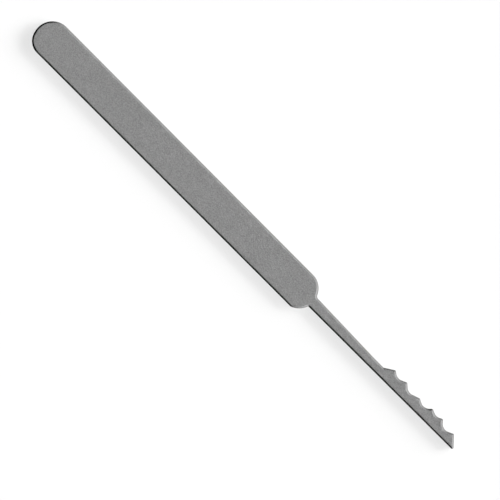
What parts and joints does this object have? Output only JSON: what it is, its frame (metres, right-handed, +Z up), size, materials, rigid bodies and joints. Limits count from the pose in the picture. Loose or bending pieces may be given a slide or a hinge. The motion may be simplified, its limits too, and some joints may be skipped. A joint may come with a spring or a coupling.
{
  "type": "clay modeling tool",
  "caption": "Flat one-piece steel clay tool: round-ended handle, narrow shank and a blade with an irregular toothed edge for raking and texturing.",
  "frame": {"origin": "on the face the tool lies on, under the middle of its length and of its width", "axes": "+X from the round end of the handle to the toothed tip, +Y towards the teeth, +Z up through the sheet"},
  "size_m": [0.1778, 0.0118, 0.0015],
  "materials": {
    "steel": "bead-blasted matte stainless steel with smoothly rounded edges"
  },
  "bodies": {
    "root": {"steel_tool_body": "steel"}
  },
  "joints": []
}
